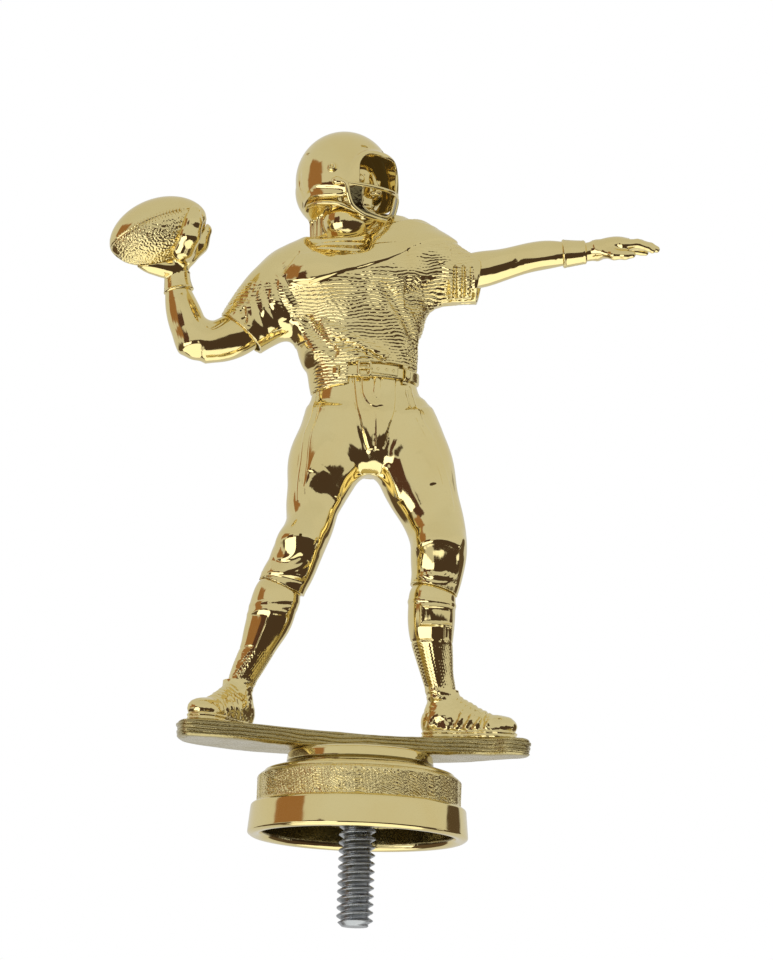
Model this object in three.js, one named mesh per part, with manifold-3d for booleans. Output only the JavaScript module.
// Football passer figure trophy: a screw-on trophy topper, in millimetres, +Z up.
// The figure's chest faces -Y and it throws towards +X. The dimensions below count heights from the base's bottom rim;
// the finished trophy is then lifted so that the origin is the centre of the mounting stud's end face.
// Each garment, limb and base ring is its own moulding, held to the next by a spigot.
import * as THREE from "three";
import { mergeVertices } from "three/addons/utils/BufferGeometryUtils.js";
import Module from "manifold-3d";

const wasm = await Module();
wasm.setup();

// ---- Driving dimensions ----
const FIT = 0.12; // clearance between a spigot and its socket
const WALL = 1.3; // wall of the hollow base mouldings

const RIM_R = 14.3; // base ring, at its bottom edge
const RING_TOP_R = 13.9;
const RING_H = 4.2;
const BAND_R = 13.2; // textured band above the ring
const BAND_TOP = 8.1;
const NECK_FOOT_R = 12.5; // riser neck: a shallow cone, then a smooth step
const NECK_STEP_R = 9.2;
const NECK_STEP_Z = 10;
const PLATE_Z = 11.15; // underside of the ground plate
const PLATE_TOP = 13.4;
const BOSS_R = 4.4; // boss that holds the stud
const BOSS_Z = 4.6;

const STUD_MAJOR_R = 2.38; // #10-24 UNC
const STUD_MINOR_R = 1.82;
const STUD_PITCH = 1.058;
const STUD_BOTTOM = -11.4;
const STUD_TOP = 9.6;
const NUT_FLATS = 8.0;
const NUT_H = 2.6;

const SHOE_LENGTH = 12.6;
const SHOE_WIDTH = 4.7;
const SOLE_H = 1.0;
const HELMET_R = 6.6;
const HELMET_AT = [-4.75, 0, 87.3];
const HEAD_TURN = 60; // degrees from facing -Y towards +X
const BALL_LENGTH = 13.4;
const BALL_R = 4.25;
const BALL_AT = [-29.1, -1.2, 79.4];
const BALL_TILT = 24; // degrees, nose up towards +X

const ROUND_SIDES = 32;
const LIMB_SIDES = 12;
const RINGS_PER_STATION = 2;

// ---- Materials ----
const gold = new THREE.MeshStandardMaterial({ color: 0xd9c272, roughness: 0.15, metalness: 1 });
const steel = new THREE.MeshStandardMaterial({ color: 0xb4b8bc, roughness: 0.35, metalness: 1 });

// ---- Solids ----
// A three.js geometry as a manifold-3d solid: vertices merged by place, collapsed triangles dropped.
function solid(geometry) {
  const bare = geometry.clone();
  bare.deleteAttribute("normal");
  bare.deleteAttribute("uv");
  const merged = mergeVertices(bare, 1e-4);
  const index = merged.index.array;
  const kept = [];
  for (let i = 0; i < index.length; i += 3) {
    const [a, b, c] = [index[i], index[i + 1], index[i + 2]];
    if (a !== b && b !== c && c !== a) kept.push(a, b, c);
  }
  const vertProperties = merged.attributes.position.array;
  return new wasm.Manifold(new wasm.Mesh({ numProp: 3, vertProperties, triVerts: new Uint32Array(kept) }));
}

function geometryOf(made) {
  const mesh = made.getMesh();
  const points = new Float32Array(mesh.numVert * 3);
  for (let i = 0; i < mesh.numVert; i++) {
    points.set(mesh.vertProperties.subarray(i * mesh.numProp, i * mesh.numProp + 3), i * 3);
  }
  const geometry = new THREE.BufferGeometry();
  geometry.setAttribute("position", new THREE.BufferAttribute(points, 3));
  geometry.setIndex(new THREE.BufferAttribute(mesh.triVerts, 1));
  geometry.computeVertexNormals();
  return geometry;
}

// A body of revolution about Z from [radius, height] corners, closed on the axis or on itself.
function lathe(corners, sides = ROUND_SIDES) {
  const next = (i) => corners[(i + 1) % corners.length];
  const turn = corners.reduce((sum, [r, z], i) => sum + r * next(i)[1] - next(i)[0] * z, 0);
  const ordered = turn > 0 ? corners : [...corners].reverse();
  const closed = ordered[0][0] === 0 && ordered.at(-1)[0] === 0 ? ordered : [...ordered, ordered[0]];
  const profile = closed.map(([r, z]) => new THREE.Vector2(r, z));
  return solid(new THREE.LatheGeometry(profile, sides).rotateX(Math.PI / 2));
}

function ball(at, radii, sides = 20) {
  const geometry = new THREE.SphereGeometry(1, sides, Math.round(sides * 0.7));
  return solid(geometry.scale(...radii).translate(...at));
}

function block(from, to) {
  const size = to.map((v, i) => v - from[i]);
  const middle = to.map((v, i) => (v + from[i]) / 2);
  return solid(new THREE.BoxGeometry(...size).translate(...middle));
}

const UP = new THREE.Vector3(0, 0, 1);
const INTO = new THREE.Vector3(0, 1, 0);

// A closed tube through stations [x, y, z, half width, half depth]. The depth runs along `depthAxis`, and `grow`
// makes the tube larger all round, which is how a socket is cut for it.
function limb(stations, grow = 0, depthAxis = INTO, sides = LIMB_SIDES) {
  const spots = stations.map(([x, y, z]) => new THREE.Vector3(x, y, z));
  const first = spots[0].clone().sub(spots[1]).setLength(grow);
  const last = spots.at(-1).clone().sub(spots.at(-2)).setLength(grow);
  spots[0].add(first);
  spots.at(-1).add(last);
  const path = new THREE.CatmullRomCurve3(spots);
  const girth = new THREE.CatmullRomCurve3(stations.map((s) => new THREE.Vector3(s[3] + grow, s[4] + grow, 0)));
  const steps = RINGS_PER_STATION * (stations.length - 1);
  const geometry = new THREE.CylinderGeometry(1, 1, 1, sides, steps);
  const position = geometry.attributes.position;
  for (let i = 0; i < position.count; i++) {
    const t = THREE.MathUtils.clamp(position.getY(i) + 0.5, 0, 1);
    const size = girth.getPoint(t);
    const along = path.getTangent(t);
    const deep = depthAxis.clone().projectOnPlane(along).normalize();
    const across = new THREE.Vector3().crossVectors(along, deep);
    const point = path.getPoint(t);
    point.addScaledVector(across, position.getX(i) * size.x);
    point.addScaledVector(deep, position.getZ(i) * size.y);
    position.setXYZ(i, point.x, point.y, point.z);
  }
  return solid(geometry);
}

const joinAll = (...pieces) => pieces.reduce((sum, piece) => sum.add(piece));
const cutAll = (host, ...pieces) => pieces.reduce((left, piece) => left.subtract(piece), host);

const trophy = new THREE.Group();

function add(name, made, material = gold) {
  const mesh = new THREE.Mesh(geometryOf(made), material);
  mesh.name = name;
  trophy.add(mesh);
}

// ---- Base: stud, nut, three stepped rings and the ground plate ----
// The thread is a height field over the cylinder: its radius rises and falls once per pitch along a helix.
function threadedStud() {
  const sides = 14;
  const perPitch = 3;
  const steps = Math.round(((STUD_TOP - STUD_BOTTOM) / STUD_PITCH) * perPitch);
  const geometry = new THREE.CylinderGeometry(1, 1, 1, sides, steps);
  const position = geometry.attributes.position;
  const length = STUD_TOP - STUD_BOTTOM;
  for (let i = 0; i < position.count; i++) {
    const [x, y] = [position.getX(i), position.getZ(i)];
    const z = STUD_BOTTOM + (position.getY(i) + 0.5) * length;
    const turns = Math.atan2(-y, x) / (2 * Math.PI) - z / STUD_PITCH;
    const wave = Math.abs((((turns % 1) + 1) % 1) * 2 - 1);
    const atEnd = position.getY(i) < -0.499 || position.getY(i) > 0.499;
    const radius = atEnd ? STUD_MINOR_R : THREE.MathUtils.lerp(STUD_MINOR_R, STUD_MAJOR_R, wave);
    position.setXYZ(i, x * radius, -y * radius, z);
  }
  return solid(geometry);
}

const studBore = (extra = 0) => lathe([[0, BOSS_Z - 8], [STUD_MAJOR_R + FIT + extra, BOSS_Z - 8],
  [STUD_MAJOR_R + FIT + extra, STUD_TOP + FIT], [0, STUD_TOP + FIT]], 24);

function hexNut() {
  const corner = NUT_FLATS / Math.sqrt(3);
  const body = new THREE.CylinderGeometry(corner, corner, NUT_H, 6).rotateX(Math.PI / 2);
  return solid(body.translate(0, 0, BOSS_Z - NUT_H / 2)).subtract(studBore());
}

function baseRing() {
  return lathe([[RIM_R - 0.5, 0], [RIM_R, 0.45], [RING_TOP_R + 0.15, RING_H - 0.3], [RING_TOP_R - 0.15, RING_H],
    [BAND_R - WALL, RING_H], [BAND_R - WALL, RING_H - 1], [RIM_R - WALL, 0]]);
}

function texturedBand() {
  const spigot = BAND_R - WALL - FIT;
  return lathe([[BAND_R, RING_H], [BAND_R, BAND_TOP - 0.5], [BAND_R - 0.5, BAND_TOP], [NECK_FOOT_R - WALL, BAND_TOP],
    [NECK_FOOT_R - WALL, RING_H - 1], [spigot, RING_H - 1], [spigot, RING_H]]);
}

function riserNeck() {
  const spigot = NECK_FOOT_R - WALL - FIT;
  const shell = lathe([[NECK_FOOT_R, BAND_TOP], [NECK_FOOT_R - 0.9, BAND_TOP + 0.6], [NECK_STEP_R + 1.1, NECK_STEP_Z - 0.3],
    [NECK_STEP_R, NECK_STEP_Z],
    [NECK_STEP_R, PLATE_Z - 0.5], [NECK_STEP_R - 0.5, PLATE_Z], [0, PLATE_Z], [0, BOSS_Z], [BOSS_R, BOSS_Z],
    [BOSS_R, PLATE_Z - WALL], [spigot - WALL, BAND_TOP - 0.6], [spigot - WALL, BAND_TOP - 1.2],
    [spigot, BAND_TOP - 1.2], [spigot, BAND_TOP]]);
  const plateSockets = PLATE_PEGS.map(([x, y]) => peg(x, y, PLATE_Z, -0.7, FIT));
  return cutAll(shell, studBore(), ...plateSockets);
}

const PEG_R = 0.9;
const PLATE_PEGS = [[-6.2, 1.2], [6.2, 1.2]];
function peg(x, y, z, height, grow = 0) {
  const reach = height + Math.sign(height) * grow;
  const body = new THREE.CylinderGeometry(PEG_R + grow, PEG_R + grow, Math.abs(reach), 14).rotateX(Math.PI / 2);
  return solid(body.translate(x, y, z + reach / 2));
}

// The ground plate is a slender S in plan: its -X end swings towards the viewer under the rear foot.
const PLATE_OUTLINE = [[-23.5, -8.8], [-22.3, -11], [-18.5, -10.7], [-14, -8.7], [-10.1, -6.7], [-6.2, -4.9], [-2, -3.5],
  [1, -2.3], [5.2, -1.6], [10, -2.2], [16.2, -3.1], [19, -4.2], [21, -4.1], [21.9, -2.4], [21.4, -0.2], [18.5, 2],
  [14.5, 5.3], [10.4, 7.2], [4, 8], [-4, 6.2], [-9, 4], [-14.6, 2.5], [-20, -0.8], [-22.8, -3.6], [-23.6, -6]];

function plateShape() {
  const curve = new THREE.CatmullRomCurve3(PLATE_OUTLINE.map(([x, y]) => new THREE.Vector3(x, y, 0)), true);
  return new THREE.Shape(curve.getPoints(60).slice(0, -1).map((p) => new THREE.Vector2(p.x, p.y)));
}

function groundPlate() {
  const slab = new THREE.ExtrudeGeometry(plateShape(), { depth: PLATE_TOP - PLATE_Z, bevelEnabled: false });
  const plate = solid(slab.translate(0, 0, PLATE_Z));
  const pegs = PLATE_PEGS.map(([x, y]) => peg(x, y, PLATE_Z + 0.2, -0.8));
  const sockets = FEET.map((foot) => footPeg(foot, FIT));
  return cutAll(joinAll(plate, ...pegs), ...sockets);
}

// ---- Shoes, built heel at the origin and toe along +X, then stood on the plate ----
const FEET = [
  { side: "right", heel: [-14.8, 0.8], heading: -122 },
  { side: "left", heel: [7.9, 1.5], heading: -15 },
];

function stand(foot, made) {
  const turn = THREE.MathUtils.degToRad(foot.heading);
  const place = new THREE.Matrix4().makeRotationZ(turn).setPosition(foot.heel[0], foot.heel[1], PLATE_TOP);
  return made.transform([...place.elements]);
}

const footPeg = (foot, grow = 0) => stand(foot, peg(SHOE_LENGTH * 0.45, 0, 0.2, -1.2, grow));

function soleShape() {
  const half = SHOE_WIDTH / 2;
  const shape = new THREE.Shape();
  shape.moveTo(0.1, 0);
  shape.bezierCurveTo(0.1, half, 2, half * 0.9, SHOE_LENGTH * 0.4, half * 0.76);
  shape.bezierCurveTo(SHOE_LENGTH * 0.6, half, SHOE_LENGTH, half * 1.3, SHOE_LENGTH, 0);
  shape.bezierCurveTo(SHOE_LENGTH, -half * 1.2, SHOE_LENGTH * 0.6, -half, SHOE_LENGTH * 0.4, -half * 0.76);
  shape.bezierCurveTo(2, -half * 0.9, 0.1, -half, 0.1, 0);
  return shape;
}

function sole(foot) {
  const slab = new THREE.ExtrudeGeometry(soleShape(), { depth: SOLE_H, bevelEnabled: false, curveSegments: 7 });
  return joinAll(stand(foot, solid(slab)), footPeg(foot));
}

function shoe(foot, leg) {
  const half = SHOE_WIDTH / 2;
  const last = limb([[0.25, 0, 1.8, half * 0.5, 1.8], [1.4, 0, 1.8, half * 0.8, 3], [3.4, 0, 1.8, half * 0.86, 4.2],
    [5.5, 0, 1.6, half * 0.84, 4.3], [7.3, 0, 1.2, half * 0.88, 3.4], [9.4, 0, 1, half * 0.92, 2.5],
    [11.2, 0, 0.9, half * 0.82, 2.2], [12.2, 0, 0.8, half * 0.55, 1.6], [12.6, 0, 0.8, half * 0.2, 0.7]], 0, UP);
  const collar = limb([[2.8, 0, 3, 2.2, 2], [2.7, 0, 4.6, 2.15, 2], [2.6, 0, 5.6, 2.25, 2.1]]);
  const trimmed = joinAll(last, collar).subtract(block([-3, -6, -6], [15, 6, SOLE_H]));
  return cutAll(stand(foot, trimmed), limb(leg, FIT));
}

// ---- Legs and pants ----
// Socked lower legs run from inside the shoe to inside the pants leg.
const RIGHT_LEG = [[-16.2, -1.3, 16.6, 1.5, 1.5], [-15.8, -1.5, 19.6, 1.7, 1.8], [-14.9, -1.8, 21.8, 1.95, 2],
  [-13.9, -2.1, 24, 2.2, 2.3], [-13.1, -2.4, 26, 2.6, 2.7], [-12.35, -2.6, 28, 2.95, 3],
  [-11.8, -2.7, 30.2, 3.05, 3.1], [-11.2, -2.8, 31.8, 2.9, 2.9], [-10.7, -2.8, 33, 2.3, 2.4],
  [-10.2, -2.8, 34.6, 2, 2.2]];
const LEFT_LEG = [[10.3, 0.8, 16.6, 1.5, 1.5], [10.2, 0.6, 19.6, 1.9, 1.95], [9.7, 0.3, 21.6, 2.05, 2.1],
  [9.4, 0.1, 23, 2.25, 2.3], [9, -0.2, 25, 2.55, 2.7], [8.7, -0.5, 27, 2.9, 3], [8.6, -0.8, 29, 3.08, 3.1],
  [8.6, -1, 31, 3.08, 3.05], [8.65, -1.2, 32.4, 2.9, 2.9], [8.8, -1.3, 33.6, 2.3, 2.4], [9, -1.4, 35.2, 2.1, 2.2]];
const RIGHT_THIGH = [[-11, -2.8, 32.2, 3.05, 3.1], [-10.6, -2.8, 33.2, 3.15, 3.2], [-10, -2.9, 34.3, 3.15, 3.5],
  [-9.35, -3, 36, 3.2, 3.7], [-8.45, -2.8, 38.3, 3.15, 3.6], [-7.65, -2.5, 40.6, 3.15, 3.6],
  [-7.35, -2.1, 43, 3.5, 4], [-6.9, -1.7, 45, 3.95, 4.4], [-6.1, -1, 48.4, 4.8, 5], [-5, -0.2, 52.8, 4.55, 5.2],
  [-4.5, 0, 55.5, 4.1, 4.9]];
const LEFT_THIGH = [[8.75, -1.2, 33, 3.05, 3.1], [9.1, -1.3, 34.4, 3.3, 3.4], [9.25, -1.4, 36.5, 3.55, 3.8],
  [9.2, -1.4, 38.8, 3.7, 3.9], [8.7, -1.2, 41, 3.9, 4], [7.9, -0.9, 43.4, 4.15, 4.3], [7.1, -0.7, 45.3, 4.55, 4.6],
  [6, -0.3, 48.4, 5.05, 5], [4.8, 0, 52.6, 4.7, 5.2], [4, 0, 55.5, 3.8, 4.9]];
const HIPS = [[0, -0.2, 48.2, 4.5, 3.6], [0, -0.1, 51, 8.4, 5.2], [-0.3, 0, 54.4, 8.4, 5.4], [-0.9, 0, 57.4, 7.45, 5],
  [-1, 0, 60, 6.5, 4.6], [-1.1, 0, 62.2, 6.2, 4.4]];
const LEG_OF = { right: RIGHT_LEG, left: LEFT_LEG };

function pants(grow = 0) {
  return joinAll(limb(HIPS, grow), limb(RIGHT_THIGH, grow), limb(LEFT_THIGH, grow));
}

// ---- Belt and buckle, level round the waist ----
const BELT = [[-1, 0, 59.9, 6.85, 4.95], [-1.05, 0, 60.7, 6.8, 4.9], [-1.1, 0, 61.5, 6.7, 4.85]];
const BUCKLE_AT = [0.3, -5.3, 60.7];

function buckle(grow = 0) {
  const plate = new THREE.BoxGeometry(2.2 + grow * 2, 1.1 + grow * 2, 1.9 + grow * 2).rotateZ(0.1);
  return solid(plate.translate(...BUCKLE_AT));
}

// ---- Jersey, with its sleeves ----
const TORSO = [[-1.45, 0.1, 59.6, 6.95, 5.1], [-1.5, 0.1, 60.8, 7.05, 5.3], [-1.7, 0.1, 62.7, 7.4, 5.4],
  [-2.2, 0.1, 65.2, 8.1, 5.6], [-2.4, 0.2, 69, 8.9, 5.9], [-2.6, 0.4, 73, 9.6, 5.8], [-2.6, 0.6, 76.5, 9.3, 5.2],
  [-3.5, 0.6, 79, 7.5, 4.6], [-4.4, 0.6, 80.6, 5.2, 4.1]];
const RIGHT_SLEEVE = [[-17.3, 0.3, 66.7, 3.6, 3.3], [-15.7, 0.5, 68.4, 4.4, 3.9], [-13.8, 0.6, 70.2, 5.15, 4.4],
  [-10.9, 0.6, 72.3, 5.75, 4.9], [-7.7, 0.5, 74.1, 5.4, 5.1]];
const LEFT_SLEEVE = [[13.5, -0.5, 74.95, 3.6, 3.15], [11.3, -0.3, 74.95, 3.7, 3.4], [9.2, 0, 75.3, 4.35, 4],
  [7, 0.2, 75.6, 5.3, 4.6], [4.3, 0.4, 76, 5.6, 5], [1, 0.5, 75.4, 5.4, 5.1]];

// The jersey's front hem is tucked up over the belt.
const BELT_WINDOW = block([-3.4, -9, 57], [5.4, -3, 61.75]);

function jersey(...inside) {
  return cutAll(joinAll(limb(TORSO), limb(RIGHT_SLEEVE), limb(LEFT_SLEEVE)), ...inside);
}

// ---- Arms ----
const RIGHT_ARM = [[-14.6, 0.5, 69.2, 2.4, 2.4], [-17.4, 0.4, 66.8, 2.95, 2.75], [-20.1, 0.3, 65.3, 2.85, 2.6],
  [-22.9, 0.2, 64.6, 2.75, 2.5], [-24.5, 0.3, 66.5, 2.45, 2.4], [-25.3, 0.4, 68.8, 2.3, 2.2],
  [-26, 0.6, 71, 1.95, 1.9], [-26.4, 0.7, 73, 1.5, 1.5], [-26.5, 0.9, 75, 1.35, 1.4], [-26.3, 1.4, 77, 1.9, 1.2],
  [-25.7, 2, 79.6, 2.2, 1], [-25.3, 1.9, 82, 1.3, 0.7]];
const THUMB = [[-26.4, 0.4, 75.2, 0.9, 0.9], [-27.6, -0.2, 75.4, 0.9, 0.9], [-28.9, -0.6, 75.2, 0.7, 0.8]];
const LEFT_ARM = [[9.4, -0.2, 75.1, 1.9, 1.9], [13.4, -0.5, 75.85, 2.45, 2.3], [16.5, -0.8, 76.6, 2.1, 2.1],
  [19.5, -1, 77.5, 1.95, 2], [22.5, -1.1, 78.1, 1.85, 1.9], [24.6, -1.1, 78.3, 1.55, 1.6], [27.3, -1.1, 78.6, 1.25, 1.3],
  [29.3, -1.2, 78.95, 1.4, 1.7], [31.5, -1.3, 79.35, 1.7, 2.1], [33.6, -1.4, 79.6, 1.35, 1.9],
  [35.4, -1.4, 79.6, 0.8, 1.2], [36.4, -1.4, 79.5, 0.35, 0.6]];
const BAND_OVER = 0.35; // how far a wristband stands proud of the wrist
const RIGHT_WRIST = [[-26.3, 0.7, 72.4, 1.58, 1.58], [-26.45, 0.8, 73.7, 1.42, 1.42], [-26.5, 0.9, 75, 1.35, 1.4]];
const LEFT_WRIST = [[24.5, -1.1, 78.3, 1.55, 1.6], [26, -1.1, 78.45, 1.4, 1.42], [27.3, -1.1, 78.6, 1.25, 1.3]];

const wristband = (wrist, arm) => cutAll(limb(wrist, BAND_OVER), limb(arm, FIT), limb(THUMB, FIT));

// ---- Football ----
// Its profile is two circular arcs, so the ends are pointed.
function football(grow = 0) {
  const [half, r] = [BALL_LENGTH / 2 + grow, BALL_R + grow];
  const bend = (half * half + r * r) / (2 * r);
  const steps = 16;
  const corners = Array.from({ length: steps + 1 }, (_, i) => {
    const z = half * Math.sin((i / steps - 0.5) * Math.PI);
    return [i % steps ? Math.sqrt(bend * bend - z * z) - bend + r : 0, z];
  });
  return toBall(lathe(corners, 24));
}

function toBall(made) {
  const tilt = THREE.MathUtils.degToRad(BALL_TILT);
  const place = new THREE.Matrix4().makeRotationY(Math.PI / 2 - tilt).setPosition(...BALL_AT);
  return made.transform([...place.elements]);
}

const laces = (grow = 0) => toBall(block([BALL_R * 0.28 - 0.35 - grow, -BALL_R - 0.25 - grow, -2.6 - grow],
  [BALL_R * 0.28 + 0.35 + grow, -BALL_R + 0.5, 2.6 + grow]));

// ---- Head, helmet, face mask and chin strap, built facing -Y about the helmet's centre, then turned ----
function toHead(made) {
  const turn = THREE.MathUtils.degToRad(HEAD_TURN);
  const place = new THREE.Matrix4().makeRotationZ(turn).setPosition(...HELMET_AT);
  return made.transform([...place.elements]);
}

function head(grow = 0) {
  const skull = ball([0, 0.2, 0], [4.5 + grow, 5.1 + grow, 5.3 + grow], 18);
  const jaw = ball([0, -1.7, -3], [2.9 + grow, 3 + grow, 3 + grow], 14);
  const nose = ball([0, -4.9, -1.2], [0.6, 0.8, 0.9], 8);
  const neck = limb([[0.4, 0.9, -9.2, 3.1, 3.2], [0.2, 0.7, -7, 3.1, 3.1], [0, 0.4, -3.5, 2.9, 2.9]], grow);
  return toHead(joinAll(skull, jaw, nose, neck));
}

function helmetOuter(grow = 0) {
  const crown = ball([0, 0, 0], [6.3 + grow, HELMET_R + grow, HELMET_R + grow], 28);
  const cheeks = ball([0, -0.9, -2], [6.25 + grow, 6.4 + grow, 4.4 + grow], 24);
  return crown.add(cheeks);
}

function bar(points, radius) {
  return limb(points.map((p) => [...p, radius, radius]), 0, UP, 8);
}

const MASK_BAR_R = 0.34;

function faceMask(grow = 0) {
  const brow = bar([[-6.75, -0.9, -0.9], [-5.9, -4.2, -1.2], [-3, -6.7, -1.6], [0, -7.2, -1.8], [3, -6.7, -1.6],
    [5.9, -4.2, -1.2], [6.75, -0.9, -0.9]], MASK_BAR_R + grow);
  const chin = bar([[-6.7, -1.2, -1], [-5.9, -3.6, -2.9], [-3, -6.2, -4.2], [0, -6.9, -4.5], [3, -6.2, -4.2],
    [5.9, -3.6, -2.9], [6.7, -1.2, -1]], MASK_BAR_R + grow);
  const uprights = [-1.9, 1.9].map((x) => bar([[x, -7, -1.6], [x, -7, -3.1], [x, -6.5, -4.4]], MASK_BAR_R + grow));
  return toHead(joinAll(brow, chin, ...uprights));
}

function helmetShell() {
  const inner = joinAll(ball([0, 0.1, 0], [5.3, 5.7, 5.8], 20), ball([0, -0.9, -2.6], [5.3, 5.6, 5], 16));
  const faceOpening = limb([[0, -9, -1.8, 4.3, 4.2], [0, -4.3, -1.8, 4.3, 4.2]], 0, UP, 18);
  const underCut = block([-8, -8, -12], [8, 8, -5.2]);
  const jawGap = block([-4.3, -9, -8], [4.3, -3.6, -2]);
  return toHead(cutAll(helmetOuter(), inner, faceOpening, underCut, jawGap)).subtract(faceMask(FIT));
}

const chinCup = (grow = 0) => toHead(ball([0, -4.4, -5.4], [1.9 + grow, 1.4 + grow, 1.2 + grow], 14));

const snap = (side) => toHead(solid(new THREE.CylinderGeometry(0.6, 0.6, 0.5, 14).rotateZ(Math.PI / 2)
  .translate(side * 6.55, 0.6, 1)));

// ---- Assembly ----
add("mounting_stud", threadedStud(), steel);
add("stud_nut", hexNut(), steel);
add("base_ring", baseRing());
add("textured_band", texturedBand());
add("riser_neck", riserNeck());
add("ground_plate", groundPlate());
for (const foot of FEET) {
  const leg = LEG_OF[foot.side];
  add(`${foot.side}_sole`, sole(foot));
  add(`${foot.side}_shoe`, shoe(foot, leg));
  add(`${foot.side}_lower_leg`, limb(leg));
}
add("pants", cutAll(pants(), limb(RIGHT_LEG, FIT), limb(LEFT_LEG, FIT)));
add("belt", cutAll(limb(BELT), pants(FIT), buckle(FIT)));
add("belt_buckle", buckle().subtract(pants(FIT)));
add("jersey", jersey(BELT_WINDOW, pants(FIT), limb(BELT, FIT), buckle(FIT), limb(RIGHT_ARM, FIT), limb(LEFT_ARM, FIT),
  head(FIT), toHead(helmetOuter(FIT)), chinCup(FIT)));
add("throwing_arm", joinAll(limb(RIGHT_ARM), limb(THUMB)).subtract(football(FIT)));
add("lead_arm", limb(LEFT_ARM));
add("right_wristband", wristband(RIGHT_WRIST, RIGHT_ARM));
add("left_wristband", wristband(LEFT_WRIST, LEFT_ARM));
add("football", football().subtract(laces(FIT)));
add("football_laces", laces().subtract(football(-0.6)));
add("head", head());
add("helmet_shell", helmetShell());
add("face_mask", faceMask());
add("chin_strap", chinCup().subtract(head(FIT)));
add("right_helmet_snap", snap(-1));
add("left_helmet_snap", snap(1));

trophy.position.z = -STUD_BOTTOM;

export default trophy;
